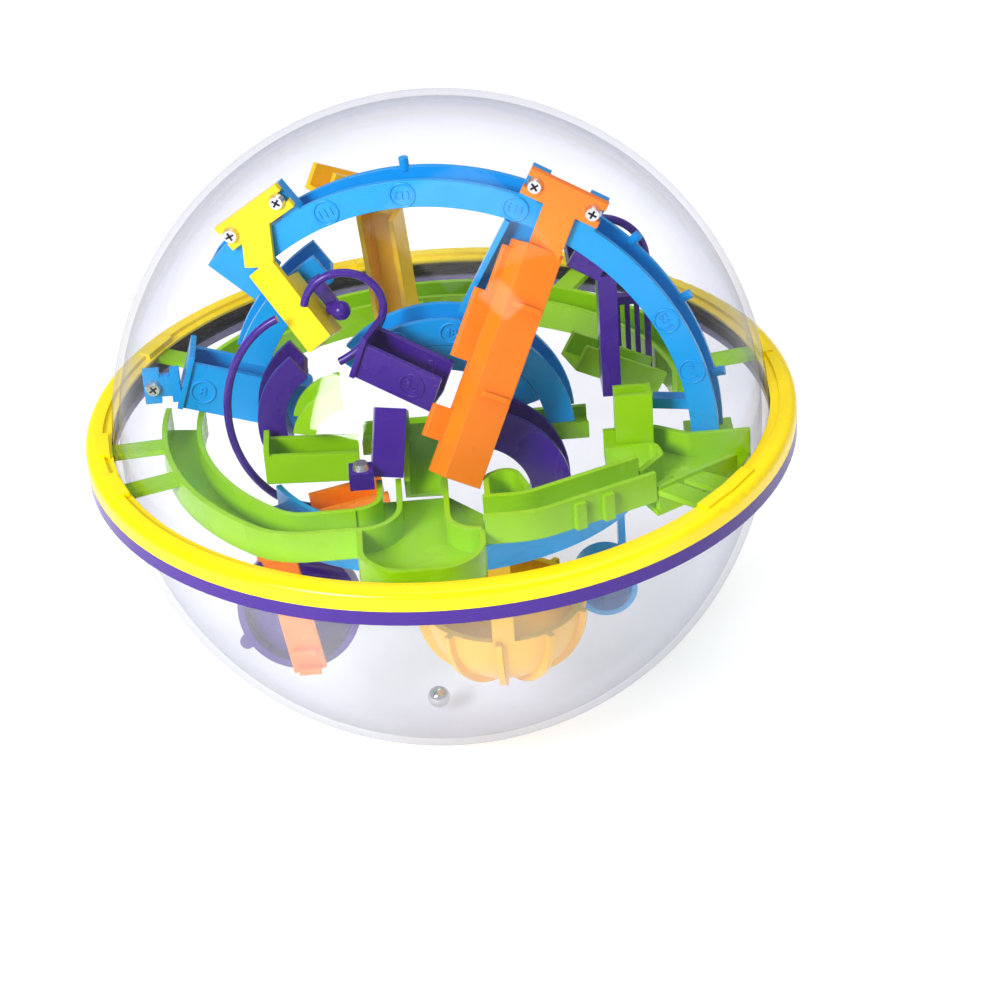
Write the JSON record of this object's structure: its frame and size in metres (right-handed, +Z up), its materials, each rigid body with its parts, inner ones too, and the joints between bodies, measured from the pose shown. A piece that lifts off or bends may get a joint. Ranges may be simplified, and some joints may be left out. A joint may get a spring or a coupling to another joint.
{
  "type": "3d maze ball puzzle",
  "caption": "Clear sphere on a two-part rim with a maze of coloured channels, arches, hoops and cups inside, through which a loose steel ball is rolled by tilting.",
  "frame": {"origin": "centre of the clear sphere, on the plane where its two domes and the two rim rings meet", "axes": "+Z up along the axis of the rim, +X to the right of the maze's front, +Y to its back"},
  "size_m": [0.1948, 0.1948, 0.18],
  "materials": {
    "clear_plastic": "clear moulded polystyrene",
    "yellow_plastic": "glossy moulded ABS",
    "purple_plastic": "glossy moulded ABS",
    "green_plastic": "glossy moulded ABS",
    "blue_plastic": "glossy moulded ABS",
    "orange_plastic": "glossy moulded ABS",
    "ball_steel": "polished",
    "screw_steel": "zinc plated"
  },
  "bodies": {
    "maze": {"blue_arch": "blue_plastic", "blue_inner_arch": "blue_plastic", "blue_left_trough": "blue_plastic", "blue_link_ramp": "blue_plastic", "blue_lower_cup": "blue_plastic", "blue_lower_ring": "blue_plastic", "blue_middle_arch": "blue_plastic", "blue_side_arc": "blue_plastic", "bracket_screws": "screw_steel", "green_back_spur": "green_plastic", "green_back_track": "green_plastic", "green_c_guide": "green_plastic", "green_center_slide": "green_plastic", "green_cross_beam": "green_plastic", "green_front_cup": "green_plastic", "green_inner_trough": "green_plastic", "green_left_track": "green_plastic", "green_right_tower": "green_plastic", "green_right_track": "green_plastic", "green_right_wing": "green_plastic", "green_upper_ledge": "green_plastic", "lower_dome": "clear_plastic", "lower_rim": "purple_plastic", "orange_column": "orange_plastic", "orange_lower_run": "orange_plastic", "orange_strap": "orange_plastic", "purple_arm": "purple_plastic", "purple_beam": "purple_plastic", "purple_c_track": "purple_plastic", "purple_comb": "purple_plastic", "purple_dark_hoop": "purple_plastic", "purple_guard_hoop": "purple_plastic", "purple_knob": "purple_plastic", "purple_lower_dish": "purple_plastic", "purple_post": "purple_plastic", "purple_right_curve": "purple_plastic", "purple_small_hoop": "purple_plastic", "tab_screw": "screw_steel", "trough_screw": "screw_steel", "upper_dome": "clear_plastic", "upper_rim": "yellow_plastic", "yellow_back_chute": "yellow_plastic", "yellow_chute": "yellow_plastic", "yellow_lower_bowl": "yellow_plastic"},
    "ball": {"steel_ball": "ball_steel"}
  },
  "joints": [
    {"name": "ball_roll", "type": "hinge", "parent": "maze", "child": "ball", "pos_m": [0, 0, 0], "axis": [0, -0.9859, 0.1673], "range_deg": [-30, 30]}
  ]
}
